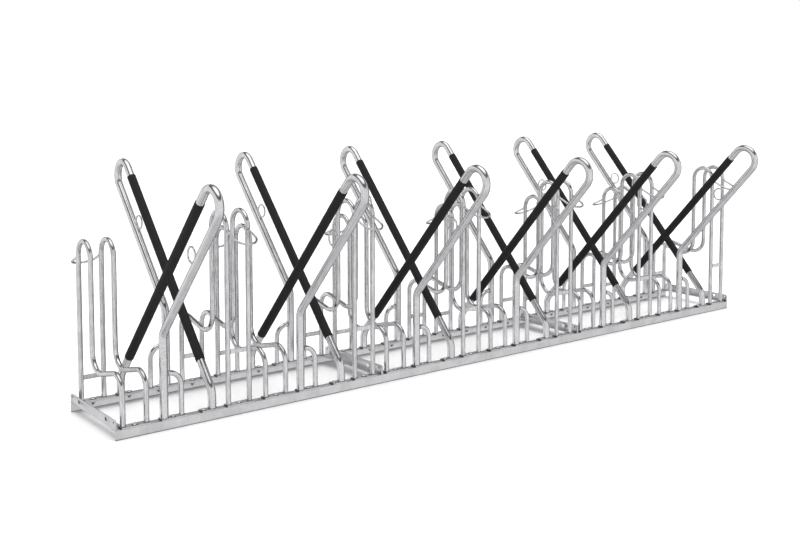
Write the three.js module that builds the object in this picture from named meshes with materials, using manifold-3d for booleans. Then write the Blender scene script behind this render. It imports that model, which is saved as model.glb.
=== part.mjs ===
// Two tier bike rack: three bolted floor sections with low and high wheel holders
// and sleeved support arms leaning out on both sides.
// Millimetres, +Z up, X along the rails, origin at the bottom centre.
import * as THREE from 'three';
import { mergeVertices } from 'three/addons/utils/BufferGeometryUtils.js';
import Module from 'manifold-3d';

const wasm = await Module();
wasm.setup();

// Layout of the rack
const sectionCount = 3;
const baysPerSection = 2;
const bayPitch = 500;
const rackDepth = 360;
const sectionPitch = bayPitch * baysPerSection;
const partGap = 0.3;

// Floor rails, equal angles with the top flange turned inward
const railHeight = 31;
const railFlange = 30;
const railThickness = 4;

// End angles that stand on the rail ends and close each section
const endAngleHeight = 31;
const endAngleFlange = 31;
const endAngleThickness = 4;
const endAngleCornerRadius = 10;
const seamHoleDiameter = 12;
const seamHoleInset = 72;
const seamHoleRise = 18.7;
const cornerHoleDiameter = 6.5;
const cornerHoleInset = 14;
const cornerHoleRise = 22.7;
const cornerArcSteps = 4;

// Base plates and their bolts
const plateThickness = 4;
const plateWidth = 30;
const footInset = 15;
const footBoltDiameter = 8;
const footBoltHeadDiameter = 21;
const footBoltHeadCrownDiameter = 13;
const footBoltHeadHeight = 4.6;
const footNutDiameter = 15;
const footNutHeight = 6.5;
const footBoltHeadSides = 6;
const footBoltNeckSides = 4;
const footBoltClearance = 0.6;

// Wheel holders, two bent hoops side by side
const barDiameter = 17;
const barSides = 6;
const holderFromBayCentre = 180.5;
const hoopSpacing = 77.3;
const holderPlateOverhang = 10;
const hoopTopRadius = 50.5;
const hoopTopHeight = 566.5;
const highHolderLift = 90;
const runLowHeight = 144.9;
const runAngleDegrees = 13.5;
const runLowRadius = 60;
const runHighRadius = 50;
const crossbarWidth = 15;
const crossbarThickness = 5;
const lowRearCrossbarHeight = 111;
const highFrontCrossbarHeight = 207;
const highRearCrossbarHeight = 122;

// Wire bows on the tall legs
const bowWireDiameter = 8;
const bowBelowTop = 55.5;
const bowAngleDegrees = 24;
const bowStraight = 49;
const bowSetOut = 5;

// Support arms
const tubeDiameter = 26.9;
const tubeSides = 8;
const armFromBayCentre = 83;
const armAngleDegrees = 47.32;
const armKneeHeight = 93.4;
const armKneeRadius = 60;
const armLowKneeRadius = 50;
const armReach = 964;
const armTubeSpacing = 103;
const armFootToBolt = 29.5;
const armPlateOverhang = 14.5;
const singlePlateBoltOverhang = 12.5;
const braceHeight = 175;
const braceBendRadius = 45;

// Lock rings on the lower tube of each arm
const ringMeanDiameter = 48;
const ringWireDiameter = 6.5;
const ringFromTube = 38.2;
const ringFromTip = 198.5;
const ringSides = 5;
const ringSteps = 10;

// Grip sleeves on the upper tube of each arm
const sleeveOuterDiameter = 31;
const sleeveFromKnee = 109.5;
const sleeveLength = 760;

// Bolts and nuts at the seams between sections
const seamBoltDiameter = 10;
const seamBoltHeadDiameter = 19.6;
const seamBoltHeadHeight = 6.4;
const seamNutHeight = 8;
const seamBoltEnd = 4;
const seamBoltSides = 8;
const hexSides = 6;

// Facet steps of the bends, in degrees
const bendStepDegrees = 50;
const hoopTopStepDegrees = 30;
const tipStepDegrees = 23;
const bowStepDegrees = 45;
const stepSlack = 0.3;
const shortestStep = 0.3;

// Derived places
const halfDepth = rackDepth / 2;
const footLine = halfDepth - footInset;
const plateBase = railHeight + partGap;
const plateTop = plateBase + plateThickness;
const plateMiddle = (plateBase + plateTop) / 2;
const seamHoleHeight = plateBase + seamHoleRise;
const cornerHoleHeight = plateBase + cornerHoleRise;
const hoopOffset = hoopSpacing / 2;
const hoopDepth = hoopTopRadius * 2;
const armBoltFromBayCentre = armFromBayCentre - armFootToBolt;
const braceFromBayCentre = armBoltFromBayCentre - armFootToBolt;

// Finishes
const galvanisedColour = 0xb4b8ba;
const galvanisedRoughness = 0.42;
const galvanisedMetalness = 0.9;
const sleeveColour = 0x2b2c2e;
const sleeveRoughness = 0.6;
const fastenerColour = 0xc3c5c6;
const fastenerRoughness = 0.35;

function galvanised() {
  return new THREE.MeshStandardMaterial({
    color: galvanisedColour,
    roughness: galvanisedRoughness,
    metalness: galvanisedMetalness,
  });
}

function rubber() {
  return new THREE.MeshStandardMaterial({
    color: sleeveColour,
    roughness: sleeveRoughness,
    metalness: 0,
  });
}

function plated() {
  return new THREE.MeshStandardMaterial({
    color: fastenerColour,
    roughness: fastenerRoughness,
    metalness: galvanisedMetalness,
  });
}

// Solids

function solidFrom(geometry) {
  const bare = geometry.clone();
  bare.deleteAttribute('normal');
  bare.deleteAttribute('uv');
  const merged = mergeVertices(bare);
  const mesh = new wasm.Mesh({
    numProp: 3,
    vertProperties: new Float32Array(merged.attributes.position.array),
    triVerts: new Uint32Array(merged.index.array),
  });
  return new wasm.Manifold(mesh);
}

function joined(solids) {
  return solids.reduce((whole, solid) => whole.add(solid));
}

function nodeFrom(solid, name, material) {
  const mesh = solid.getMesh();
  const geometry = new THREE.BufferGeometry();
  geometry.setAttribute('position', new THREE.BufferAttribute(mesh.vertProperties, 3));
  geometry.setIndex(new THREE.BufferAttribute(mesh.triVerts, 1));
  geometry.computeVertexNormals();
  const node = new THREE.Mesh(geometry, material);
  node.name = name;
  return node;
}

// Bent bars

// A line of points with exact tangents, so each ring falls on a chosen point.
class BentLine extends THREE.Curve {
  constructor(stations) {
    super();
    this.stations = stations;
  }

  stationAt(share) {
    return this.stations[Math.round(share * (this.stations.length - 1))];
  }

  getPoint(share) {
    return this.stationAt(share).point.clone();
  }

  getPointAt(share) {
    return this.getPoint(share);
  }

  getTangentAt(share) {
    return this.stationAt(share).tangent.clone();
  }
}

// Rounds each inner corner of a line; corners are {at, radius, step}.
function stationsAlong(corners) {
  const last = corners.length - 1;
  const stations = [];
  const firstWay = corners[1].at.clone().sub(corners[0].at).normalize();
  stations.push({ point: corners[0].at, tangent: firstWay });
  for (let index = 1; index < last; index += 1) {
    const { at, radius, step: largestStep } = corners[index];
    const into = at.clone().sub(corners[index - 1].at).normalize();
    const out = corners[index + 1].at.clone().sub(at).normalize();
    const turn = into.angleTo(out);
    const setBack = radius * Math.tan(turn / 2);
    const inward = out.clone().addScaledVector(into, -Math.cos(turn)).normalize();
    const steps = Math.ceil(turn / THREE.MathUtils.degToRad(largestStep) - stepSlack);
    for (let step = 0; step <= steps; step += 1) {
      const angle = (turn * step) / steps;
      const point = at.clone()
        .addScaledVector(into, radius * Math.sin(angle) - setBack)
        .addScaledVector(inward, radius * (1 - Math.cos(angle)));
      const tangent = into.clone().multiplyScalar(Math.cos(angle))
        .addScaledVector(inward, Math.sin(angle));
      const previous = stations[stations.length - 1].point;
      if (previous.distanceTo(point) > shortestStep) {
        stations.push({ point, tangent });
      }
    }
  }
  const lastWay = corners[last].at.clone().sub(corners[last - 1].at).normalize();
  stations.push({ point: corners[last].at, tangent: lastWay });
  return stations;
}

// Ring radius of a flat-sided bar with the same section area as the round one.
function evenAreaRadius(diameter, sides) {
  const turn = (Math.PI * 2) / sides;
  return (diameter / 2) * Math.sqrt(turn / Math.sin(turn));
}

function ringShape(radius, sides) {
  const points = [];
  for (let side = 0; side < sides; side += 1) {
    const angle = (Math.PI * 2 * side) / sides;
    points.push(new THREE.Vector2(radius * Math.cos(angle), radius * Math.sin(angle)));
  }
  return new THREE.Shape(points);
}

function sweptRing(corners, radius, sides) {
  const line = new BentLine(stationsAlong(corners));
  const geometry = new THREE.ExtrudeGeometry(ringShape(radius, sides), {
    steps: line.stations.length - 1,
    extrudePath: line,
    bevelEnabled: false,
  });
  return solidFrom(geometry);
}

function bentBar(corners, diameter, sides) {
  return sweptRing(corners, evenAreaRadius(diameter, sides), sides);
}

function corner(x, y, z, radius = 0, step = bendStepDegrees) {
  return { at: new THREE.Vector3(x, y, z), radius, step };
}

// Plain solids

function block(low, high) {
  const size = high.clone().sub(low);
  const middle = low.clone().add(high).divideScalar(2);
  const geometry = new THREE.BoxGeometry(size.x, size.y, size.z);
  geometry.translate(middle.x, middle.y, middle.z);
  return solidFrom(geometry);
}

// Extrudes a section drawn in Y and Z along X.
function alongX(shape, start, length) {
  const geometry = new THREE.ExtrudeGeometry(shape, { depth: length, bevelEnabled: false });
  const turn = new THREE.Matrix4().makeBasis(
    new THREE.Vector3(0, 1, 0),
    new THREE.Vector3(0, 0, 1),
    new THREE.Vector3(1, 0, 0),
  );
  geometry.applyMatrix4(turn);
  geometry.translate(start, 0, 0);
  return solidFrom(geometry);
}

// A turned solid about a vertical line through the given place.
function turnedUp(profile, sides, x, y, z) {
  const points = profile.map(([radius, height]) => new THREE.Vector2(radius, height));
  const geometry = new THREE.LatheGeometry(points, sides);
  geometry.rotateX(Math.PI / 2);
  geometry.translate(x, y, z);
  return solidFrom(geometry);
}

// A turned solid about a line along X.
function turnedAlongX(profile, sides, x, y, z) {
  const points = profile.map(([radius, height]) => new THREE.Vector2(radius, height));
  const geometry = new THREE.LatheGeometry(points, sides);
  geometry.rotateZ(-Math.PI / 2);
  geometry.translate(x, y, z);
  return solidFrom(geometry);
}

// Base plates with their bolt, joined as one foot

function footBolt(x, y) {
  const headRadius = footBoltHeadDiameter / 2;
  const crownRadius = footBoltHeadCrownDiameter / 2;
  const neckRadius = footBoltDiameter / Math.SQRT2;
  const nutRadius = footNutDiameter / 2;
  const nutTop = railHeight - railThickness - partGap;
  const nutBottom = nutTop - footNutHeight;
  const head = turnedUp([
    [0, plateMiddle],
    [headRadius, plateMiddle],
    [headRadius, plateTop],
    [crownRadius, plateTop + footBoltHeadHeight],
    [0, plateTop + footBoltHeadHeight],
  ], footBoltHeadSides, x, y, 0);
  const neck = turnedUp([
    [0, nutTop - footNutHeight / 2],
    [neckRadius, nutTop - footNutHeight / 2],
    [neckRadius, plateMiddle],
    [0, plateMiddle],
  ], footBoltNeckSides, x, y, 0);
  const nut = turnedUp([
    [0, nutBottom],
    [nutRadius, nutBottom],
    [nutRadius, nutTop],
    [0, nutTop],
  ], footBoltHeadSides, x, y, 0);
  return joined([head, neck, nut]);
}

function footPlate(low, high, boltX, side) {
  const outer = side * halfDepth;
  const inner = side * (halfDepth - plateWidth);
  const plate = block(
    new THREE.Vector3(low, Math.min(outer, inner), plateBase),
    new THREE.Vector3(high, Math.max(outer, inner), plateTop),
  );
  return plate.add(footBolt(boltX, side * footLine));
}

// Wheel holders, drawn for entry from the front

function hoop(x, lift) {
  const top = hoopTopHeight + lift;
  const frontLeg = footLine - hoopDepth;
  const runLow = runLowHeight + lift;
  const rise = Math.tan(THREE.MathUtils.degToRad(runAngleDegrees));
  const runHigh = runLow + (frontLeg + footLine) * rise;
  return bentBar([
    corner(x, footLine, plateMiddle),
    corner(x, footLine, top, hoopTopRadius, hoopTopStepDegrees),
    corner(x, frontLeg, top, hoopTopRadius, hoopTopStepDegrees),
    corner(x, frontLeg, runLow, runLowRadius),
    corner(x, -footLine, runHigh, runHighRadius),
    corner(x, -footLine, plateMiddle),
  ], barDiameter, barSides);
}

// A flat bar between the two legs of a holder.
function crossbar(centreX, y, z) {
  const halfThickness = crossbarThickness / 2;
  const halfWidth = crossbarWidth / 2;
  return block(
    new THREE.Vector3(centreX - hoopOffset, y - halfThickness, z - halfWidth),
    new THREE.Vector3(centreX + hoopOffset, y + halfThickness, z + halfWidth),
  );
}

function bow(centreX, z) {
  const angle = THREE.MathUtils.degToRad(bowAngleDegrees);
  const reach = bowStraight + hoopOffset;
  const startY = footLine + bowSetOut;
  const endY = startY + reach * Math.cos(angle);
  const endZ = z - reach * Math.sin(angle);
  return bentBar([
    corner(centreX - hoopOffset, startY, z),
    corner(centreX - hoopOffset, endY, endZ, hoopOffset, bowStepDegrees),
    corner(centreX + hoopOffset, endY, endZ, hoopOffset, bowStepDegrees),
    corner(centreX + hoopOffset, startY, z),
  ], bowWireDiameter, barSides);
}

function wheelHolder(lift, crossbars) {
  const centreX = -holderFromBayCentre;
  const halfPlate = hoopOffset + holderPlateOverhang;
  return joined([
    footPlate(centreX - halfPlate, centreX + halfPlate, centreX, -1),
    footPlate(centreX - halfPlate, centreX + halfPlate, centreX, 1),
    hoop(centreX - hoopOffset, lift),
    hoop(centreX + hoopOffset, lift),
    bow(centreX, hoopTopHeight + lift - bowBelowTop),
    ...crossbars.map(({ side, height }) => crossbar(centreX, side * footLine, height)),
  ]);
}

// Support arms, drawn leaning out to the front

const armAngle = THREE.MathUtils.degToRad(armAngleDegrees);
const armWay = new THREE.Vector3(0, -Math.cos(armAngle), Math.sin(armAngle));
const armDrop = new THREE.Vector3(0, -Math.sin(armAngle), -Math.cos(armAngle));
const armKnee = new THREE.Vector3(-armFromBayCentre, footLine, armKneeHeight);

function armTube() {
  const tipRadius = armTubeSpacing / 2;
  const upperTip = armKnee.clone().addScaledVector(armWay, armReach);
  const lowerTip = upperTip.clone().addScaledVector(armDrop, armTubeSpacing);
  const along = (lowerTip.y + footLine) / armWay.y;
  const lowKnee = lowerTip.clone().addScaledVector(armWay, -along);
  return bentBar([
    corner(armKnee.x, footLine, plateMiddle),
    corner(armKnee.x, armKnee.y, armKnee.z, armKneeRadius),
    corner(upperTip.x, upperTip.y, upperTip.z, tipRadius, tipStepDegrees),
    corner(lowerTip.x, lowerTip.y, lowerTip.z, tipRadius, tipStepDegrees),
    corner(lowKnee.x, lowKnee.y, lowKnee.z, armLowKneeRadius),
    corner(armKnee.x, -footLine, plateMiddle),
  ], tubeDiameter, tubeSides);
}

function brace() {
  const footX = -braceFromBayCentre;
  return bentBar([
    corner(footX, -footLine, plateMiddle),
    corner(footX, -footLine, braceHeight, braceBendRadius),
    corner(armKnee.x, -footLine, braceHeight),
  ], barDiameter, barSides);
}

function lockRing() {
  const tipRadius = armTubeSpacing / 2;
  const centre = armKnee.clone()
    .addScaledVector(armWay, armReach - tipRadius - ringFromTip)
    .addScaledVector(armDrop, armTubeSpacing - ringFromTube);
  const geometry = new THREE.TorusGeometry(
    ringMeanDiameter / 2,
    evenAreaRadius(ringWireDiameter, ringSides),
    ringSides,
    ringSteps,
  );
  geometry.rotateY(Math.PI / 2);
  geometry.rotateX(armAngle);
  geometry.translate(centre.x, centre.y, centre.z);
  return solidFrom(geometry);
}

function supportArm() {
  const boltX = -armBoltFromBayCentre;
  const halfPlate = armFootToBolt + armPlateOverhang;
  return joined([
    footPlate(boltX - halfPlate, boltX + halfPlate, boltX, -1),
    footPlate(boltX - halfPlate, boltX + singlePlateBoltOverhang, boltX, 1),
    armTube(),
    brace(),
    lockRing(),
  ]);
}

function gripSleeve() {
  const start = armKnee.clone().addScaledVector(armWay, sleeveFromKnee);
  const boreRadius = evenAreaRadius(tubeDiameter, tubeSides) + partGap;
  const wallRadius = evenAreaRadius(sleeveOuterDiameter, tubeSides);
  const profile = [
    [boreRadius, 0],
    [wallRadius, 0],
    [wallRadius, sleeveLength],
    [boreRadius, sleeveLength],
    [boreRadius, 0],
  ].map(([radius, along]) => new THREE.Vector2(radius, along));
  const geometry = new THREE.LatheGeometry(profile, tubeSides);
  geometry.rotateX(Math.PI - armAngle);
  geometry.translate(start.x, start.y, start.z);
  return solidFrom(geometry);
}

// Rails and end angles, drawn about the middle of a section

function bayCentres() {
  const centres = [];
  for (let bay = 0; bay < baysPerSection; bay += 1) {
    centres.push(bay * bayPitch - (sectionPitch - bayPitch) / 2);
  }
  return centres;
}

function frontRail() {
  const endInset = partGap / 2;
  const inside = railThickness - halfDepth;
  const underFlange = railHeight - railThickness;
  const section = new THREE.Shape([
    new THREE.Vector2(-halfDepth, 0),
    new THREE.Vector2(inside, 0),
    new THREE.Vector2(inside, underFlange),
    new THREE.Vector2(railFlange - halfDepth, underFlange),
    new THREE.Vector2(railFlange - halfDepth, railHeight),
    new THREE.Vector2(-halfDepth, railHeight),
  ]);
  const start = endInset - sectionPitch / 2;
  let rail = alongX(section, start, sectionPitch - endInset * 2);
  const holeRadius = footBoltDiameter / Math.SQRT2 + footBoltClearance;
  const holeProfile = [
    [0, underFlange - partGap],
    [holeRadius, underFlange - partGap],
    [holeRadius, railHeight + partGap],
    [0, railHeight + partGap],
  ];
  for (const centre of bayCentres()) {
    for (const offset of [holderFromBayCentre, armBoltFromBayCentre]) {
      for (const side of [-1, 1]) {
        const hole = turnedUp(holeProfile, footBoltNeckSides, centre + side * offset, -footLine, 0);
        rail = rail.subtract(hole);
      }
    }
  }
  return rail;
}

function seamHole(diameter, y, z) {
  const radius = diameter / 2;
  const length = endAngleThickness + partGap * 2;
  const start = -sectionPitch / 2;
  return turnedAlongX([[0, 0], [radius, 0], [radius, length], [0, length]], seamBoltSides, start, y, z);
}

function endAngle() {
  const outer = partGap / 2 - sectionPitch / 2;
  const bottom = plateBase;
  const top = bottom + endAngleHeight;
  const radius = endAngleCornerRadius;
  const outline = [new THREE.Vector2(-halfDepth, bottom), new THREE.Vector2(halfDepth, bottom)];
  for (const side of [1, -1]) {
    for (let step = 0; step <= cornerArcSteps; step += 1) {
      const share = side > 0 ? step / cornerArcSteps : 1 - step / cornerArcSteps;
      const angle = (Math.PI / 2) * share;
      outline.push(new THREE.Vector2(
        side * (halfDepth - radius + radius * Math.cos(angle)),
        top - radius + radius * Math.sin(angle),
      ));
    }
  }
  const upright = alongX(new THREE.Shape(outline), outer, endAngleThickness);
  const flangeEnd = halfDepth - plateWidth - partGap;
  const flange = block(
    new THREE.Vector3(outer, -flangeEnd, bottom),
    new THREE.Vector3(outer + endAngleFlange, flangeEnd, bottom + endAngleThickness),
  );
  let angle = upright.add(flange);
  for (const side of [-1, 1]) {
    const seamY = side * (halfDepth - seamHoleInset);
    const cornerY = side * (halfDepth - cornerHoleInset);
    angle = angle.subtract(seamHole(seamHoleDiameter, seamY, seamHoleHeight));
    angle = angle.subtract(seamHole(cornerHoleDiameter, cornerY, cornerHoleHeight));
  }
  return angle;
}

// Seam bolts and nuts, drawn about a seam at X zero

function seamBolt(y) {
  const face = endAngleThickness + partGap / 2 + partGap;
  const shankRadius = seamBoltDiameter / 2;
  const shankEnd = face + seamNutHeight + seamBoltEnd;
  const head = turnedAlongX([
    [0, -face - seamBoltHeadHeight],
    [seamBoltHeadDiameter / 2, -face - seamBoltHeadHeight],
    [seamBoltHeadDiameter / 2, -face],
    [0, -face],
  ], hexSides, 0, y, seamHoleHeight);
  const shank = turnedAlongX([
    [0, -face - seamBoltHeadHeight / 2],
    [shankRadius, -face - seamBoltHeadHeight / 2],
    [shankRadius, shankEnd],
    [0, shankEnd],
  ], seamBoltSides, 0, y, seamHoleHeight);
  return head.add(shank);
}

function seamNut(y) {
  const face = endAngleThickness + partGap / 2 + partGap;
  const outerRadius = seamBoltHeadDiameter / 2;
  const boreRadius = seamBoltDiameter / 2 + partGap;
  const nut = turnedAlongX([
    [0, face],
    [outerRadius, face],
    [outerRadius, face + seamNutHeight],
    [0, face + seamNutHeight],
  ], hexSides, 0, y, seamHoleHeight);
  const bore = turnedAlongX([
    [0, face - partGap],
    [boreRadius, face - partGap],
    [boreRadius, face + seamNutHeight + partGap],
    [0, face + seamNutHeight + partGap],
  ], seamBoltSides, 0, y, seamHoleHeight);
  return nut.subtract(bore);
}

// Placing

function placed(solid, x, halfTurn) {
  const turned = halfTurn ? solid.rotate([0, 0, 180]) : solid;
  return turned.translate([x, 0, 0]);
}

const rack = new THREE.Group();
rack.name = 'two_tier_bike_rack';

function addNode(solid, x, halfTurn, name, material) {
  rack.add(nodeFrom(placed(solid, x, halfTurn), name, material));
}

const rail = frontRail();
const angle = endAngle();
for (let section = 0; section < sectionCount; section += 1) {
  const x = (section - (sectionCount - 1) / 2) * sectionPitch;
  const number = section + 1;
  addNode(rail, x, false, `rail_front_${number}`, galvanised());
  addNode(rail, x, true, `rail_rear_${number}`, galvanised());
  addNode(angle, x, false, `end_angle_left_${number}`, galvanised());
  addNode(angle, x, true, `end_angle_right_${number}`, galvanised());
}

const lowHolder = wheelHolder(0, [{ side: 1, height: lowRearCrossbarHeight }]);
const highHolder = wheelHolder(highHolderLift, [
  { side: 1, height: highFrontCrossbarHeight },
  { side: -1, height: highRearCrossbarHeight },
]);
const arm = supportArm();
const sleeve = gripSleeve();
const bayCount = sectionCount * baysPerSection;
for (let bay = 0; bay < bayCount; bay += 1) {
  const x = (bay - (bayCount - 1) / 2) * bayPitch;
  const number = bay + 1;
  addNode(lowHolder, x, false, `low_wheel_holder_${number}`, galvanised());
  addNode(arm, x, false, `front_support_arm_${number}`, galvanised());
  addNode(sleeve, x, false, `front_grip_sleeve_${number}`, rubber());
  addNode(arm, x, true, `rear_support_arm_${number}`, galvanised());
  addNode(sleeve, x, true, `rear_grip_sleeve_${number}`, rubber());
  addNode(highHolder, x, true, `high_wheel_holder_${number}`, galvanised());
}

for (let seam = 1; seam < sectionCount; seam += 1) {
  const x = (seam - sectionCount / 2) * sectionPitch;
  for (const side of [-1, 1]) {
    const y = side * (halfDepth - seamHoleInset);
    const name = `${side < 0 ? 'front' : 'rear'}_${seam}`;
    addNode(seamBolt(y), x, false, `seam_bolt_${name}`, plated());
    addNode(seamNut(y), x, false, `seam_nut_${name}`, plated());
  }
}

export default rack;
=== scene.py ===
"""Two tier bike rack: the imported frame, dressed as the galvanised steel original."""
import logging
import math
import random
from dataclasses import dataclass, field
from enum import Enum, IntEnum
from typing import Any, Iterable, Sequence

import bmesh
import bpy
from mathutils import Matrix, Vector


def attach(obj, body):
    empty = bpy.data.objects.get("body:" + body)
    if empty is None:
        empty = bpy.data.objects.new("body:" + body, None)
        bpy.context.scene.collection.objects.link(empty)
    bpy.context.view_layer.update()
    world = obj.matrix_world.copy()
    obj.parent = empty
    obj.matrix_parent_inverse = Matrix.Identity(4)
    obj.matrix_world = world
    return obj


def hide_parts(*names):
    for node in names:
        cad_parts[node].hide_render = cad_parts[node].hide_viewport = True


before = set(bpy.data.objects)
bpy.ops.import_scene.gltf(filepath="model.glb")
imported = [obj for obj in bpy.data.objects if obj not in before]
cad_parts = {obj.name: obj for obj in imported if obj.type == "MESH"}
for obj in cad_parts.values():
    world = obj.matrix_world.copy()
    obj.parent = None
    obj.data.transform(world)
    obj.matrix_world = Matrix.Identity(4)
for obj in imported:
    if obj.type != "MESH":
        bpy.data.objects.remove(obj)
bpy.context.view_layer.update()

log = logging.getLogger("bike_rack")

Colour = tuple[float, float, float, float]
Pair = tuple[float, float]
Profile = Sequence[Pair]

ALONG = Vector((1.0, 0.0, 0.0))
ACROSS = Vector((0.0, 1.0, 0.0))
UP = Vector((0.0, 0.0, 1.0))

QUARTER = math.pi / 2
TUBE_ANGLE = math.radians(47.32)
TUBE_LEAN = QUARTER - TUBE_ANGLE

BEND_STEP = math.radians(6.0)
SHORTEST_STEP = 1e-5
ON_THE_LINE = 1e-7
SAME_PLACE = 1e-7


class Entry(Enum):
    """The side of the rack that a unit serves."""

    FRONT = "front"
    REAR = "rear"


class Tier(Enum):
    """The height at which a wheel holder grips the wheel."""

    LOW = "low"
    HIGH = "high"


class Tone(IntEnum):
    """Place of a face's finish in the list of its piece."""

    MAIN = 0
    SECOND = 1
    THIRD = 2


# Shader helpers


class Signal:
    """One shader output whose arithmetic adds Math nodes."""

    def __init__(self, board: "Board", socket: Any) -> None:
        """Keep the socket and the board that it belongs to."""
        self.board = board
        self.socket = socket

    def _with(self, operation: str, *inputs: Any) -> "Signal":
        """Add one Math node fed with the given values or signals."""
        return self.board.add("ShaderNodeMath", {"operation": operation}, dict(enumerate(inputs)))

    def __add__(self, other: Any) -> "Signal":
        """Return self + other."""
        return self._with("ADD", self, other)

    __radd__ = __add__

    def __sub__(self, other: Any) -> "Signal":
        """Return self - other."""
        return self._with("SUBTRACT", self, other)

    def __rsub__(self, other: Any) -> "Signal":
        """Return other - self."""
        return self._with("SUBTRACT", other, self)

    def __mul__(self, other: Any) -> "Signal":
        """Return self * other."""
        return self._with("MULTIPLY", self, other)

    __rmul__ = __mul__

    def __truediv__(self, other: Any) -> "Signal":
        """Return self / other."""
        return self._with("DIVIDE", self, other)

    def __pow__(self, other: Any) -> "Signal":
        """Return self raised to other."""
        return self._with("POWER", self, other)

    def clamped(self) -> "Signal":
        """Return self kept between 0 and 1."""
        settings = {"operation": "ADD", "use_clamp": True}
        return self.board.add("ShaderNodeMath", settings, {0: self, 1: 0.0})

    def stepped(self, low: float, high: float) -> "Signal":
        """Return a smooth rise from 0 at low to 1 at high.

        Args:
            low: Value that gives 0.
            high: Value that gives 1.

        Returns:
            The risen signal.
        """
        return self.board.add(
            "ShaderNodeMapRange",
            {"interpolation_type": "SMOOTHSTEP"},
            {"Value": self, "From Min": low, "From Max": high},
        )


class Board:
    """The node tree of a material or of the studio's surroundings."""

    def __init__(self, owner: Any) -> None:
        """Empty the owner's node tree.

        Args:
            owner: The new material or world.
        """
        self.owner = owner
        owner.use_nodes = True
        self.tree = owner.node_tree
        self.tree.nodes.clear()

    def output(self, kind: str, surface: Signal) -> None:
        """Link a surface to a new output node of the given type."""
        node = self.tree.nodes.new(kind)
        self.tree.links.new(surface.socket, node.inputs["Surface"])

    def add(
        self, kind: str, settings: dict[str, Any] | None = None,
        inputs: dict[Any, Any] | None = None, output: int | str = 0,
    ) -> Signal:
        """Add one node.

        Args:
            kind: The node's type.
            settings: Properties set before the sockets.
            inputs: Values or signals by socket name or place.
            output: Name or place of the output handed back.

        Returns:
            The chosen output as a signal.
        """
        node = self.tree.nodes.new(kind)
        for key, value in (settings or {}).items():
            if key == "stops":
                self._set_stops(node.color_ramp, value)
            else:
                setattr(node, key, value)
        for key, value in (inputs or {}).items():
            socket = node.inputs[key]
            if isinstance(value, Signal):
                self.tree.links.new(value.socket, socket)
            else:
                socket.default_value = value
        return Signal(self, node.outputs[output])

    @staticmethod
    def _set_stops(ramp: Any, stops: Sequence[tuple[float, Colour]]) -> None:
        """Set a ramp's stops.

        Args:
            ramp: The colour ramp.
            stops: Place and colour of each stop.
        """
        while len(ramp.elements) < len(stops):
            ramp.elements.new(1.0)
        for element, (place, colour) in zip(ramp.elements, stops):
            element.position = place
            element.color = colour

    def place(self) -> Signal:
        """Return the position on the piece, in metres."""
        return self.add("ShaderNodeTexCoord", output="Object")

    def part(self, way: Signal, axis: str) -> Signal:
        """Return the X, Y or Z part of a direction or place."""
        return self.add("ShaderNodeSeparateXYZ", None, {"Vector": way}, output=axis)

    def drawn_out(self, where: Signal, lean: float, share: float) -> Signal:
        """Stretch a place along a bar, so that a texture runs out into streaks.

        Args:
            where: Position signal.
            lean: Angle of the bar from upright, about X.
            share: Share of the length that is kept along the bar.

        Returns:
            The stretched place.
        """
        return self.add(
            "ShaderNodeMapping", {"vector_type": "TEXTURE"},
            {"Vector": where, "Rotation": (lean, 0.0, 0.0), "Scale": (1.0, 1.0, 1 / share)},
        )

    def noise(self, where: Signal, scale: float, detail: float = 2.0, rough: float = 0.5) -> Signal:
        """Add a noise texture.

        Args:
            where: Position signal.
            scale: Size of the noise, per metre.
            detail: Octaves.
            rough: Strength of the finer octaves.

        Returns:
            The noise value.
        """
        return self.add(
            "ShaderNodeTexNoise", None,
            {"Vector": where, "Scale": scale, "Detail": detail, "Roughness": rough},
        )

    def blend(self, factor: Any, first: Any, second: Any) -> Signal:
        """Mix two colours.

        Args:
            factor: Share of the second colour.
            first: First colour or signal.
            second: Second colour or signal.

        Returns:
            The mixed colour.
        """
        return self.add(
            "ShaderNodeMix",
            {"data_type": "RGBA", "blend_type": "MIX"},
            {0: factor, 6: first, 7: second},
            output=2,
        )

    def finish(
        self, colour: Any, roughness: Any, metallic: Any, height: Signal | None = None,
        relief: float = 0.0, **extra: Any,
    ) -> bpy.types.Material:
        """Close the tree with the surface shader.

        Args:
            colour: Base colour.
            roughness: Roughness.
            metallic: Metallic share.
            height: Height of the fine relief, 0 to 1.
            relief: Depth of the relief in metres.
            extra: Other sockets of the surface shader, by name.

        Returns:
            The finished material.
        """
        inputs: dict[str, Any] = {
            "Base Color": colour, "Roughness": roughness, "Metallic": metallic
        }
        if height is not None:
            inputs["Normal"] = self.add(
                "ShaderNodeBump", None, {"Height": height, "Strength": 1.0, "Distance": relief}
            )
        inputs.update({key.replace("_", " "): value for key, value in extra.items()})
        surface = self.add("ShaderNodeBsdfPrincipled", None, inputs)
        self.output("ShaderNodeOutputMaterial", surface)
        return self.owner


# Finishes


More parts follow.
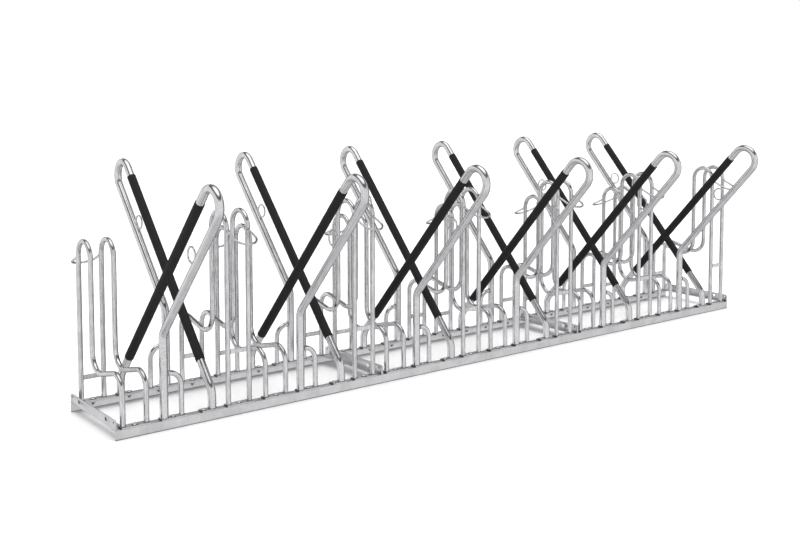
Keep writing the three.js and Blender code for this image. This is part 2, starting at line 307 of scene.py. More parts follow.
@dataclass(frozen=True)
class GalvanisedFinish:
    """Hot dip zinc: pale grey with streaks along the bars, soft clouds and darker flecks, with
    painted contact shade along the lowest few millimetres where asked.
    """

    name: str = "galvanised_zinc"
    bright: Colour = (0.742, 0.74, 0.758, 1.0)
    dull: Colour = (0.334, 0.333, 0.342, 1.0)
    lean: float = 0.0
    cloud: float = 0.20
    streak: float = 0.38
    fleck: float = 0.28
    roughness: float = 0.13
    metallic: float = 1.0
    # Colour, reach and strength of the painted contact shade at the foot of a piece.
    contact_shade: Colour = (0.12, 0.12, 0.12, 1.0)
    contact_shade_height: float = 0.0
    contact_shade_share: float = 0.8
    kept_along: float = 0.10
    cloud_scale: float = 20.0
    cloud_edge: Pair = (0.35, 0.65)
    streak_scale: float = 230.0
    streak_edge: Pair = (0.35, 0.68)
    fleck_scale: float = 210.0
    fleck_edge: Pair = (0.54, 0.74)
    grain_scale: float = 520.0
    relief: float = 0.00007

    def build(self) -> bpy.types.Material:
        """Make the material.

        Returns:
            The new material.
        """
        board = Board(bpy.data.materials.new(self.name))
        where = board.place()
        along = board.drawn_out(where, self.lean, self.kept_along)
        cloud = board.noise(where, self.cloud_scale, 4.0, 0.6).stepped(*self.cloud_edge)
        streak = board.noise(along, self.streak_scale, 3.0, 0.6).stepped(*self.streak_edge)
        fleck = board.noise(where, self.fleck_scale, 3.0, 0.65).stepped(*self.fleck_edge)
        dullness = (self.cloud * cloud + self.streak * streak + self.fleck * fleck).clamped()
        colour = board.blend(dullness, self.bright, self.dull)
        # Painted shade: darker towards the bottom over the lowest few millimetres, standing in for
        # the contact shade where the piece meets the floor.
        if self.contact_shade_height:
            above = board.part(where, "Z").stepped(0.4 * self.contact_shade_height, self.contact_shade_height)
            colour = board.blend(self.contact_shade_share * (1 - above), colour, self.contact_shade)
        grain = board.noise(where, self.grain_scale, 3.0, 0.6)
        rough = self.roughness + 0.16 * dullness + 0.05 * grain
        height = 0.5 * streak + 0.2 * fleck + 0.3 * grain
        return board.finish(colour, rough, self.metallic, height, self.relief)


@dataclass(frozen=True)
class WeldFinish:
    """Zinc over a weld bead: rougher and a little darker than the bar."""

    name: str = "galvanised_weld"
    light: Colour = (0.38, 0.385, 0.39, 1.0)
    dark: Colour = (0.12, 0.12, 0.125, 1.0)
    roughness: float = 0.42
    metallic: float = 0.8
    lump_scale: float = 260.0
    lump_edge: Pair = (0.35, 0.7)
    relief: float = 0.0006

    def build(self) -> bpy.types.Material:
        """Make the material.

        Returns:
            The new material.
        """
        board = Board(bpy.data.materials.new(self.name))
        lumps = board.noise(board.place(), self.lump_scale, 3.0, 0.6)
        colour = board.blend(lumps.stepped(*self.lump_edge), self.light, self.dark)
        rough = self.roughness + 0.15 * lumps
        return board.finish(colour, rough, self.metallic, lumps, self.relief)


@dataclass(frozen=True)
class SleeveFinish:
    """Near-black rubber hose with faint lines along it, dust and scuffs."""

    name: str = "sleeve_rubber"
    black: Colour = (0.0112, 0.0110, 0.0120, 1.0)
    worn: Colour = (0.021, 0.0205, 0.022, 1.0)
    roughness: float = 0.62
    gloss: float = 0.20
    scuff_scale: float = 35.0
    scuff_edge: Pair = (0.45, 0.75)
    grain_scale: float = 700.0
    relief: float = 0.0001

    def build(self) -> bpy.types.Material:
        """Make the material.

        Returns:
            The new material.
        """
        board = Board(bpy.data.materials.new(self.name))
        where = board.place()
        scuff = board.noise(where, self.scuff_scale, 4.0, 0.65).stepped(*self.scuff_edge)
        grain = board.noise(where, self.grain_scale)
        colour = board.blend(0.7 * scuff + 0.2 * grain, self.black, self.worn)
        rough = self.roughness + 0.16 * scuff + 0.06 * grain
        height = 0.5 * scuff + 0.5 * grain
        return board.finish(
            colour, rough, 0.0, height, self.relief, Specular_IOR_Level=self.gloss
        )


@dataclass(frozen=True)
class FastenerFinish:
    """Zinc plate on bolts and nuts in its bright tone; darker copies of it paint shade on the nuts
    and threads under the rail and on the head rims, hole walls and cut ends of the plates.
    """

    name: str = "plated_fastener"
    bright: Colour = (0.86, 0.86, 0.88, 1.0)
    dull: Colour = (0.55, 0.55, 0.56, 1.0)
    roughness: float = 0.14
    metallic: float = 0.95
    haze_scale: float = 160.0
    haze_edge: Pair = (0.35, 0.7)
    relief: float = 0.00008

    def build(self) -> bpy.types.Material:
        """Make the material.

        Returns:
            The new material.
        """
        board = Board(bpy.data.materials.new(self.name))
        haze = board.noise(board.place(), self.haze_scale, 3.0, 0.6).stepped(*self.haze_edge)
        colour = board.blend(haze, self.bright, self.dull)
        rough = self.roughness + 0.15 * haze
        return board.finish(colour, rough, self.metallic, haze, self.relief)


@dataclass(frozen=True)
class FloorFinish:
    """Plain white studio floor."""

    name: str = "studio_floor"
    white: Colour = (0.96, 0.96, 0.96, 1.0)
    pale: Colour = (0.90, 0.90, 0.90, 1.0)
    tone_share: float = 0.04
    tone_scale: float = 3.0
    roughness: float = 0.7

    def build(self) -> bpy.types.Material:
        """Make the material.

        Returns:
            The new material.
        """
        board = Board(bpy.data.materials.new(self.name))
        tone = board.noise(board.place(), self.tone_scale)
        colour = board.blend(self.tone_share * tone, self.white, self.pale)
        return board.finish(colour, self.roughness, 0.0)


# Mesh helpers


@dataclass(frozen=True)
class Corner:
    """A corner of a bar's centre line with the radius of its bend."""

    at: Vector
    radius: float = 0.0


@dataclass(frozen=True)
class Station:
    """A point on a bar's centre line and the way the bar runs there."""

    point: Vector
    way: Vector


@dataclass(frozen=True)
class BeadRun:
    """How a weld bead swells on its way round a bar."""

    fewest_lumps: int = 7
    most_lumps: int = 9
    mean: float = 0.92
    wave: float = 0.16
    scatter: float = 0.06
    flatness: float = 0.85
    sides: int = 8


def angles(count: int) -> list[float]:
    """Return equal angles round a full turn."""
    return [math.tau * place / count for place in range(count)]


def bent_line(corners: Sequence[Corner]) -> list[Station]:
    """Round the corners of a centre line.

    Args:
        corners: Start, corners and end.

    Returns:
        The stations along the line.
    """
    stations = [Station(corners[0].at, (corners[1].at - corners[0].at).normalized())]
    for before, here, after in zip(corners, corners[1:], corners[2:]):
        into = (here.at - before.at).normalized()
        out = (after.at - here.at).normalized()
        turn = into.angle(out)
        inward = (out - into * math.cos(turn)).normalized()
        set_back = here.radius * math.tan(turn / 2)
        count = max(2, math.ceil(turn / BEND_STEP))
        for index in range(count + 1):
            angle = turn * index / count
            point = (
                here.at
                + into * (here.radius * math.sin(angle) - set_back)
                + inward * (here.radius * (1 - math.cos(angle)))
            )
            if (point - stations[-1].point).length > SHORTEST_STEP:
                stations.append(Station(point, into * math.cos(angle) + inward * math.sin(angle)))
    stations.append(Station(corners[-1].at, (corners[-1].at - corners[-2].at).normalized()))
    return stations


class Shape:
    """A mesh in the making, with a material for each face."""

    def __init__(self) -> None:
        """Start empty."""
        self.mesh = bmesh.new()

    def ring(self, points: Iterable[Vector]) -> list[Any]:
        """Add a vertex at each point and return them."""
        return [self.mesh.verts.new(point) for point in points]

    def round_ring(
        self, centre: Vector, side: Vector, across: Vector, radius: float, sides: int,
    ) -> list[Any]:
        """Add a circle of vertices.

        Args:
            centre: Middle of the circle.
            side: Direction of its first vertex.
            across: Direction a quarter turn on.
            radius: Radius.
            sides: Number of vertices.

        Returns:
            The new vertices.
        """
        return self.ring(
            centre + side * (radius * math.cos(angle)) + across * (radius * math.sin(angle))
            for angle in angles(sides)
        )

    def bridge(self, first: list[Any], second: list[Any], tone: int) -> None:
        """Join two closed rings with quads.

        Args:
            first: First ring.
            second: Second ring.
            tone: Material index.
        """
        count = len(first)
        for index in range(count):
            after = (index + 1) % count
            face = self.mesh.faces.new(
                (first[index], first[after], second[after], second[index])
            )
            face.material_index = tone

    def solid(self, rings: Sequence[list[Any]]) -> None:
        """Join rings into a bar and close both ends.

        Args:
            rings: The rings in order along the bar.
        """
        for first, second in zip(rings, rings[1:]):
            self.bridge(first, second, Tone.MAIN)
        for end in (list(reversed(rings[0])), rings[-1]):
            self.mesh.faces.new(end).material_index = Tone.MAIN

    def loop(self, rings: Sequence[list[Any]], tone: int) -> None:
        """Join rings into a loop of the given tone, the last one to the first."""
        for first, second in zip(rings, [*rings[1:], rings[0]]):
            self.bridge(first, second, tone)

    def bar(
        self, stations: Sequence[Station], side: Vector, radius: float, sides: int = 20,
    ) -> None:
        """Sweep a round bar along a flat line.

        Args:
            stations: The line.
            side: Normal of the plane that the line lies in.
            radius: Radius of the bar.
            sides: Number of facets.
        """
        self.solid([
            self.round_ring(station.point, side, station.way.cross(side), radius, sides)
            for station in stations
        ])

    def turned(
        self, profile: Profile, at: Vector, way: Vector, sides: int = 24,
        tone: int = Tone.MAIN, closed: bool = False,
    ) -> None:
        """Turn a profile about a line.

        Args:
            profile: Radius and distance along the line of each point.
            at: Start of the line.
            way: Direction of the line.
            sides: Number of facets.
            tone: Material index.
            closed: Whether the profile is a loop, as for a sleeve.
        """
        side = way.orthogonal().normalized()
        across = way.cross(side)
        rings: list[list[Any]] = []
        for radius, along in profile:
            centre = at + way * along
            if radius < ON_THE_LINE:
                rings.append(self.ring([centre]))
            else:
                rings.append(self.round_ring(centre, side, across, radius, sides))
        pairs = list(zip(rings, rings[1:]))
        if closed:
            pairs.append((rings[-1], rings[0]))
        for first, second in pairs:
            if len(first) == 1 or len(second) == 1:
                self._fan(first, second, tone)
            else:
                self.bridge(first, second, tone)

    def _fan(self, first: list[Any], second: list[Any], tone: int) -> None:
        """Join a ring to a single point.

        Args:
            first: First ring or point.
            second: Second ring or point.
            tone: Material index.
        """
        opens = len(first) == 1
        point, ring = (first[0], second) if opens else (second[0], first)
        count = len(ring)
        for index in range(count):
            here, after = ring[index], ring[(index + 1) % count]
            face = self.mesh.faces.new((point, after, here) if opens else (point, here, after))
            face.material_index = tone

    def bead(
        self, at: Vector, way: Vector, radius: float, size: float, seed: int,
        steps: int = 30, rise: Vector | None = None, run: BeadRun = BeadRun(),
    ) -> None:
        """Lay a lumpy weld bead round a bar.

        Args:
            at: Centre of the bead's ring.
            way: The bar's direction.
            radius: The bar's radius.
            size: The bead's leg length.
            seed: Seed of the lumps.
            steps: Stations round the bar.
            rise: Half height of a flat bar, where the bar isn't round.
            run: How the bead swells.
        """
        source = random.Random(seed)
        lumps = source.randint(run.fewest_lumps, run.most_lumps)
        start = source.random() * math.tau
        tall = rise or way.orthogonal().normalized() * radius
        side = tall.normalized()
        across = way.cross(side)
        rings: list[list[Any]] = []
        for angle in angles(steps):
            out = side * math.cos(angle) + across * math.sin(angle)
            wave = run.wave * math.cos(lumps * angle + start)
            swell = size * (run.mean + wave + run.scatter * source.random())
            centre = at + tall * math.cos(angle) + across * (radius * math.sin(angle))
            rings.append(self.ring(
                centre + out * (swell * math.cos(turn))
                + way * (swell * run.flatness * math.sin(turn))
                for turn in angles(run.sides)
            ))
        self.loop(rings, Tone.SECOND)

    def hoop_ring(
        self, at: Vector, side: Vector, radius: float, wire: float, steps: int = 48,
        sides: int = 12,
    ) -> None:
        """Add a closed wire ring.

        Args:
            at: Centre.
            side: Axis of the ring.
            radius: Mean radius.
            wire: Radius of the wire.
            steps: Stations round the ring.
            sides: Facets of the wire.
        """
        first_way = side.orthogonal().normalized()
        second_way = side.cross(first_way)
        rings: list[list[Any]] = []
        for angle in angles(steps):
            out = first_way * math.cos(angle) + second_way * math.sin(angle)
            rings.append(self.ring(
                at + out * (radius + wire * math.cos(turn)) + side * (wire * math.sin(turn))
                for turn in angles(sides)
            ))
        self.loop(rings, Tone.MAIN)

    def sheet_metal(
        self, outline: Profile, holes: Sequence[Profile], thickness: float, edge: float,
        turn: Matrix, wall: float = 0.9,
    ) -> None:
        """Add a flat plate with eased edges, whose hole walls take the second tone, a painted
        shade.

        Args:
            outline: Corners of the plate in its own plane.
            holes: Corners of each hole.
            thickness: Thickness of the plate.
            edge: Size of the eased edge.
            turn: Matrix from the plate's plane to its place.
            wall: Share of a face's normal out of the plane, below which it can be a wall.
        """
        curve = bpy.data.curves.new("plate_outline", "CURVE")
        curve.dimensions = "2D"
        curve.fill_mode = "BOTH"
        curve.extrude = thickness / 2 - edge
        curve.bevel_depth = edge
        curve.bevel_resolution = 1
        curve.offset = -edge
        for loop in (outline, *holes):
            spline = curve.splines.new("POLY")
            spline.points.add(len(loop) - 1)
            for point, (x, y) in zip(spline.points, loop):
                point.co = (x, y, 0.0, 1.0)
            spline.use_cyclic_u = True
        holder = bpy.data.objects.new("plate_outline", curve)
        made = holder.to_mesh().copy()
        holder.to_mesh_clear()
        # Hole walls take the second tone, which paints shade in the holes.
        for face in made.polygons:
            place = (face.center.x, face.center.y)
            inside = abs(face.normal.z) < wall and any(
                math.dist(place, self._middle(hole)) < self._reach(hole) for hole in holes
            )
            face.material_index = Tone.SECOND if inside else Tone.MAIN
        made.transform(turn)
        self.mesh.from_mesh(made)
        bpy.data.meshes.remove(made)
        bpy.data.objects.remove(holder)
        bpy.data.curves.remove(curve)

    @staticmethod
    def _middle(hole: Profile) -> Pair:
        """Return the middle of a round hole."""
        count = len(hole)
        return sum(point[0] for point in hole) / count, sum(point[1] for point in hole) / count

    @classmethod
    def _reach(cls, hole: Profile) -> float:
        """Return a little over the radius of a round hole."""
        return math.dist(hole[0], cls._middle(hole)) * 1.1

    def piece(
        self, name: str, materials: Sequence[bpy.types.Material], place: Matrix, sharp: float,
    ) -> bpy.types.Object:
        """Make the mesh into an object.

        Args:
            name: Name of the piece.
            materials: Its materials, in the order of the face tones.
            place: Where the piece stands in the rack.
            sharp: Angle in degrees above which an edge stays sharp.

        Returns:
            The new object.
        """
        bmesh.ops.remove_doubles(self.mesh, verts=self.mesh.verts, dist=SAME_PLACE)
        bmesh.ops.recalc_face_normals(self.mesh, faces=self.mesh.faces)
        self.mesh.transform(place)
        for face in self.mesh.faces:
            face.smooth = True
        for joint in self.mesh.edges:
            if len(joint.link_faces) == 2:
                joint.smooth = joint.calc_face_angle(0.0) < math.radians(sharp)
        data = bpy.data.meshes.new(name)
        self.mesh.to_mesh(data)
        self.mesh.free()
        for material in materials:
            data.materials.append(material)
        piece = bpy.data.objects.new(name, data)
        bpy.context.scene.collection.objects.link(piece)
        return piece


def circle(x: float, y: float, radius: float, count: int = 32) -> list[Pair]:
    """Return the corners of a round hole.

    Args:
        x: Centre across.
        y: Centre up.
        radius: Radius.
        count: Number of corners.

    Returns:
        The corners.
    """
    return [
        (x + radius * math.cos(turn), y + radius * math.sin(turn)) for turn in angles(count)
    ]


def rounded_box(
    low: Pair, high: Pair, radii: tuple[float, float, float, float], count: int,
) -> list[Pair]:
    """Return a rectangle with rounded corners.

    Args:
        low: Lower left corner.
        high: Upper right corner.
        radii: Radii of the lower left, lower right, upper right and upper left corners.
        count: Steps in each corner.

    Returns:
        The corners, going round once.
    """
    centres = (
        (low[0] + radii[0], low[1] + radii[0]),
        (high[0] - radii[1], low[1] + radii[1]),
        (high[0] - radii[2], high[1] - radii[2]),
        (low[0] + radii[3], high[1] - radii[3]),
    )
    points: list[Pair] = []
    for index, ((x, y), radius) in enumerate(zip(centres, radii)):
        start = math.pi + index * QUARTER
        for step in range(count + 1):
            angle = start + QUARTER * step / count
            points.append((x + radius * math.cos(angle), y + radius * math.sin(angle)))
    return points


# Sub-assemblies


@dataclass(frozen=True)
class Layout:
    """Sizes shared by the whole rack, in metres."""

    sections: int = 3
    bays_per_section: int = 2
    bay_pitch: float = 0.500
    depth: float = 0.360
    gap: float = 0.0003
    rail_height: float = 0.031
    rail_flange: float = 0.030
    steel: float = 0.004
    foot_inset: float = 0.015
    sink: float = 0.001
    bar: float = 0.0085

    @property
    def half_depth(self) -> float:
        """Half of the rack's depth over the rails."""
        return self.depth / 2

    @property
    def foot_line(self) -> float:
        """Distance of the feet from the middle line."""
        return self.half_depth - self.foot_inset

    @property
    def plate_base(self) -> float:
        """Height of the base plates' underside."""
        return self.rail_height + self.gap

    @property
    def plate_top(self) -> float:
        """Height of the base plates' top."""
        return self.plate_base + self.steel

    @property
    def bar_start(self) -> float:
        """Height at which the bars start, just inside the base plates."""
        return self.plate_top - self.sink

    @property
    def section_pitch(self) -> float:
        """Length of one section."""
        return self.bay_pitch * self.bays_per_section

    def place(self, x: float, entry: Entry) -> Matrix:
        """Return the matrix that puts a unit at x, turned half round for the rear."""
        angle = math.pi if entry is Entry.REAR else 0.0
        return Matrix.Translation((x, 0.0, 0.0)) @ Matrix.Rotation(angle, 4, "Z")

    def bays(self) -> list[float]:
        """Return the middle of each bay."""
        count = self.sections * self.bays_per_section
        return [(index - (count - 1) / 2) * self.bay_pitch for index in range(count)]

    def middles(self) -> list[float]:
        """Return the middle of each section."""
        first = -(self.sections - 1) / 2
        return [(index + first) * self.section_pitch for index in range(self.sections)]


@dataclass(frozen=True)
class Paint:
    """The finishes in use."""

    zinc: bpy.types.Material
    sheet_zinc: bpy.types.Material
    tube_zinc: dict[Entry, bpy.types.Material]
    weld: bpy.types.Material
    rubber: bpy.types.Material
    bright: bpy.types.Material
    # shaded_nut and shaded are darker copies of the fastener zinc that paint shade.
    shaded_nut: bpy.types.Material
    shaded: bpy.types.Material


@dataclass
class Workshop:
    """Turns shapes into pieces of the rack and keeps count of them."""

    layout: Layout
    paint: Paint
    made: list[str] = field(default_factory=list)

    def hand_over(
        self, shape: Shape, name: str, slot: str, materials: Sequence[bpy.types.Material],
        place: Matrix, stands_for: str | None = None, sharp: float = 40.0,
    ) -> bpy.types.Object:
        """Make a piece, fix it to the rack and report it.

        Args:
            shape: The mesh.
            name: Name of the piece.
            slot: Material slot of the record; not used.
            materials: Materials of the faces.
            place: Where it stands.
            stands_for: The CAD node that it replaces.
            sharp: Angle above which an edge stays sharp.

        Returns:
            The piece.
        """
        piece = shape.piece(name, materials, place, sharp)
        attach(piece, "root")
        if stands_for:
            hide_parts(stands_for)
        self.made.append(name)
        log.info("%s: %d faces", name, len(piece.data.polygons))
        return piece


@dataclass
class Foot:
    """Base plate, its dome headed bolt and the nut under the rail."""

    shop: Workshop
    head_radius: float = 0.0105
    head_height: float = 0.0046
    head_foot: float = 0.97
    head_sink: float = 0.0002
    head_rim: float = 0.0008
    dome_steps: int = 8
    neck_radius: float = 0.004
    thread_turns: int = 8
    thread_root: float = 0.9
    tip: float = 0.8
    nut_radius: float = 0.0075
    nut_height: float = 0.0065
    nut_face: float = 0.86
    nut_ease: float = 0.14
    bolt_end: float = 0.005
    corner: float = 0.002
    edge: float = 0.0005
    cut_end: float = 0.7

    def plate(self, shape: Shape, low: float, high: float, side: int) -> None:
        """Add the plate.

        Args:
            shape: Mesh that takes it.
            low: Left end.
            high: Right end.
            side: -1 for the front rail, 1 for the rear rail.
        """
        layout = self.shop.layout
        outer = side * layout.half_depth
        inner = side * (layout.half_depth - layout.rail_flange)
        outline = rounded_box(
            (low, min(outer, inner)), (high, max(outer, inner)), (self.corner,) * 4, count=4
        )
        middle = layout.plate_base + layout.steel / 2
        shape.sheet_metal(
            outline, [], layout.steel, self.edge, Matrix.Translation((0.0, 0.0, middle))
        )
        # The cut ends take the second finish, a painted shade.
        for face in shape.mesh.faces:
            cut = abs(face.normal.x) > self.cut_end
            face.material_index = Tone.SECOND if cut else Tone.MAIN

    def bolt(self, shape: Shape, x: float, side: int) -> None:
        """Add the bolt and its nut.

        Args:
            shape: Mesh that takes them.
            x: Place along the rail.
            side: -1 for the front rail, 1 for the rear rail.
        """
        layout = self.shop.layout
        at = Vector((x, side * layout.foot_line, layout.plate_top))
        rim = [
            (0.0, -self.head_sink), (self.head_radius * self.head_foot, -self.head_sink),
            (self.head_radius, self.head_rim),
        ]
        dome: list[Pair] = []
        for step in range(1, self.dome_steps + 1):
            angle = QUARTER * step / self.dome_steps
            dome.append((
                self.head_radius * math.cos(angle) if step < self.dome_steps else 0.0,
                self.head_rim + (self.head_height - self.head_rim) * math.sin(angle),
            ))
        # The head's rim takes the second finish, a painted shade under the bright dome.
        shape.turned([*rim, dome[0]], at, UP, tone=Tone.SECOND)
        shape.turned(dome, at, UP)
        under = layout.rail_height - layout.steel - layout.gap - layout.plate_top
        nut_base = under - self.nut_height
        bolt_base = nut_base - self.bolt_end
        thread = [(0.0, bolt_base), (self.neck_radius * self.tip, bolt_base)]
        for step in range(self.thread_turns):
            radius = self.neck_radius * (self.thread_root if step % 2 else 1.0)
            share = 1 - (step + 0.5) / self.thread_turns
            thread.append((radius, nut_base - self.bolt_end * share))
        thread += [(self.neck_radius, -layout.sink), (0.0, -layout.sink)]
        # The thread and the nut under the rail take the third finish, a painted shade.
        shape.turned(thread, at, UP, 20, Tone.THIRD)
        nut = [
            (0.0, nut_base),
            (self.nut_radius * self.nut_face, nut_base),
            (self.nut_radius, under - self.nut_height * (1 - self.nut_ease)),
            (self.nut_radius, under - self.nut_height * self.nut_ease),
            (self.nut_radius * self.nut_face, under),
            (0.0, under),
        ]
        shape.turned(nut, at, UP, 6, Tone.THIRD)

    def hand_over(self, plates: Shape, bolts: Shape, name: str, place: Matrix) -> None:
        """Hand over the plates and bolts of a unit.

        Args:
            plates: Its base plates.
            bolts: Its bolts and nuts.
            name: Name of the unit.
            place: Where the unit stands.
        """
        paint = self.shop.paint
        # The second plate finish paints shade on the cut ends.
        steel = [paint.sheet_zinc, paint.shaded]
        self.shop.hand_over(plates, f"{name}_plates", "galvanised", steel, place)
        # The second and third fastener finishes paint shade on the head rims, threads and nuts.
        plated = [paint.bright, paint.shaded, paint.shaded_nut]
        self.shop.hand_over(bolts, f"{name}_bolts", "fastener", plated, place)


@dataclass
class WheelHolder:
    """Two bent hoops side by side, held apart by crossbars, with a wire bow."""

    shop: Workshop
    foot: Foot
    tier: Tier
    from_bay: float = 0.1805
    half_spacing: float = 0.03865
    overhang: float = 0.010
    top_radius: float = 0.0505
    top_height: float = 0.5665
    high_lift: float = 0.090
    run_low: float = 0.1449
    run_angle: float = math.radians(13.5)
    run_low_radius: float = 0.060
    run_high_radius: float = 0.050
    foot_bead: float = 0.0022
    crossbar_width: float = 0.015
    crossbar_thickness: float = 0.005
    crossbar_corner: float = 0.0004
    crossbar_edge: float = 0.0006
    crossbar_inset: float = 0.7
    crossbar_bead: float = 0.0016
    crossbar_bead_inset: float = 0.95
    low_crossbar: float = 0.111
    high_crossbars: Pair = (0.207, 0.122)
    wire: float = 0.004
    bow_below_top: float = 0.0555
    bow_angle: float = math.radians(24.0)
    bow_straight: float = 0.049
    bow_set_out: float = 0.005
    bow_bead: float = 0.0017
    bow_bead_out: float = 0.0035

    @property
    def lift(self) -> float:
        """Height added to the upper tier."""
        return self.high_lift if self.tier is Tier.HIGH else 0.0

    @property
    def entry(self) -> Entry:
        """Low holders open to the front and high ones to the rear."""
        return Entry.REAR if self.tier is Tier.HIGH else Entry.FRONT

    def crossbars(self) -> list[tuple[int, float]]:
        """List the crossbars of this tier.

        Returns:
            Side of the rack and height of each.
        """
        if self.tier is Tier.HIGH:
            return list(zip((1, -1), self.high_crossbars))
        return [(1, self.low_crossbar)]

    def hoop(self, shape: Shape, x: float) -> None:
        """Add one hoop.

        Args:
            shape: Mesh that takes it.
            x: Place along the rails.
        """
        layout = self.shop.layout
        top = self.top_height + self.lift
        front_leg = layout.foot_line - 2 * self.top_radius
        run_low = self.run_low + self.lift
        run_high = run_low + (front_leg + layout.foot_line) * math.tan(self.run_angle)
        start = layout.bar_start
        line = bent_line([
            Corner(Vector((x, layout.foot_line, start))),
            Corner(Vector((x, layout.foot_line, top)), self.top_radius),
            Corner(Vector((x, front_leg, top)), self.top_radius),
            Corner(Vector((x, front_leg, run_low)), self.run_low_radius),
            Corner(Vector((x, -layout.foot_line, run_high)), self.run_high_radius),
            Corner(Vector((x, -layout.foot_line, start))),
        ])
        shape.bar(line, ALONG, layout.bar)

    def crossbar(self, shape: Shape, middle: Vector, seed: int) -> None:
        """Add a flat crossbar between two legs.

        Args:
            shape: Mesh that takes it.
            middle: Middle of the bar.
            seed: Seed of its weld beads.
        """
        bar = self.shop.layout.bar
        reach = self.half_spacing - bar * self.crossbar_inset
        half = self.crossbar_width / 2
        corners = (self.crossbar_corner,) * 4
        outline = rounded_box((-reach, -half), (reach, half), corners, count=2)
        upright = Matrix.Translation(middle) @ Matrix.Rotation(QUARTER, 4, "X")
        shape.sheet_metal(outline, [], self.crossbar_thickness, self.crossbar_edge, upright)
        bead_reach = self.half_spacing - bar * self.crossbar_bead_inset
        for index, hand in enumerate((-1, 1)):
            shape.bead(
                middle + ALONG * (hand * bead_reach), ALONG, self.crossbar_thickness / 2,
                self.crossbar_bead, seed + index, rise=UP * half,
            )

    def bow(self, shape: Shape, centre: float, seed: int) -> None:
        """Add the wire bow on the tall legs.

        Args:
            shape: Mesh that takes it.
            centre: Middle of the holder.
            seed: Seed of its weld beads.
        """
        layout = self.shop.layout
        z = self.top_height + self.lift - self.bow_below_top
        way = Vector((0.0, math.cos(self.bow_angle), -math.sin(self.bow_angle)))
        reach = way * (self.bow_straight + self.half_spacing)
        left = Vector((centre - self.half_spacing, layout.foot_line + self.bow_set_out, z))
        right = Vector((centre + self.half_spacing, left.y, z))
        line = bent_line([
            Corner(left), Corner(left + reach, self.half_spacing),
            Corner(right + reach, self.half_spacing), Corner(right),
        ])
        shape.bar(line, ALONG.cross(way), self.wire, sides=12)
        for index, end in enumerate((left, right)):
            at = end + way * self.bow_bead_out
            shape.bead(at, way, self.wire, self.bow_bead, seed + index, steps=20)

    def build(self, number: int, bay: float) -> None:
        """Build the holder of one bay.

        Args:
            number: Number of the bay.
            bay: Middle of the bay.
        """
        layout = self.shop.layout
        centre = -self.from_bay
        half_plate = self.half_spacing + self.overhang
        bars, plates, bolts = Shape(), Shape(), Shape()
        seed = 100 * number + (50 if self.tier is Tier.HIGH else 0)
        for hand in (-1, 1):
            x = centre + hand * self.half_spacing
            self.hoop(bars, x)
            for side in (-1, 1):
                seed += 1
                at = Vector((x, side * layout.foot_line, layout.plate_top))
                bars.bead(at, UP, layout.bar, self.foot_bead, seed)
        for side, height in self.crossbars():
            seed += 2
            self.crossbar(bars, Vector((centre, side * layout.foot_line, height)), seed)
        self.bow(bars, centre, seed + 10)
        for side in (-1, 1):
            self.foot.plate(plates, centre - half_plate, centre + half_plate, side)
            self.foot.bolt(bolts, centre, side)
        name = f"{self.tier.value}_wheel_holder_{number}"
        spot = layout.place(bay, self.entry)
        steel = [self.shop.paint.zinc, self.shop.paint.weld]
        self.shop.hand_over(bars, f"{name}_bars", "galvanised", steel, spot, name)
        self.foot.hand_over(plates, bolts, name, spot)


